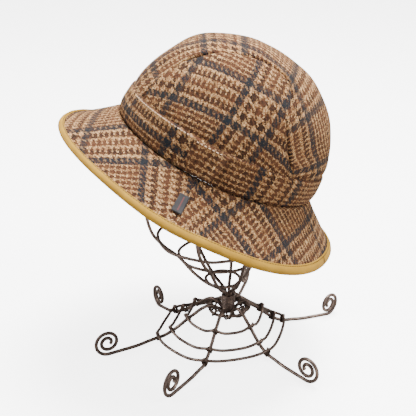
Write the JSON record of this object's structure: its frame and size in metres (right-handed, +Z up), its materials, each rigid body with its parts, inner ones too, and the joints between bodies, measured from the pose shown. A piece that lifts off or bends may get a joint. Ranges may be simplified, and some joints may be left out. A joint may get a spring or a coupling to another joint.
{
  "type": "tweed bucket hat on a wire stand",
  "caption": "Checked tweed bucket hat with a domed panelled crown, lapped band and bound sloping brim, resting on a curled wire display stand.",
  "frame": {"origin": "middle of the bounding box, on the floor the stand's feet rest on", "axes": "+Z up, -X towards the front of the hat, -Y towards the hat's left side"},
  "size_m": [0.297, 0.2586, 0.3333],
  "materials": {
    "tweed": "checked brown wool tweed, soft and slightly hairy",
    "binding": "plain mustard wool felt, folded over the edge",
    "tag": "grey woven tape",
    "wire": "dark brown lacquered steel wire, slightly glossy"
  },
  "bodies": {
    "root": {"crown_centre_panel": "tweed", "crown_left_panel": "tweed", "crown_right_panel": "tweed", "hat_band": "tweed", "band_lap": "tweed", "brim": "tweed", "brim_binding": "binding", "cloth_tag": "tag", "leg_right": "wire", "leg_back": "wire", "leg_back_left": "wire", "leg_left": "wire", "leg_front_left": "wire", "leg_front_right": "wire", "web_inner": "wire", "web_middle": "wire", "web_outer": "wire", "hub_ring": "wire", "neck_coil": "wire", "basket_rib_1": "wire", "basket_rib_2": "wire", "basket_rib_3": "wire", "basket_rib_4": "wire", "basket_rib_5": "wire", "basket_rib_6": "wire", "basket_ring_low": "wire", "basket_ring_middle": "wire", "basket_ring_high": "wire", "basket_ring_wide": "wire", "basket_ring_top": "wire"}
  },
  "joints": []
}
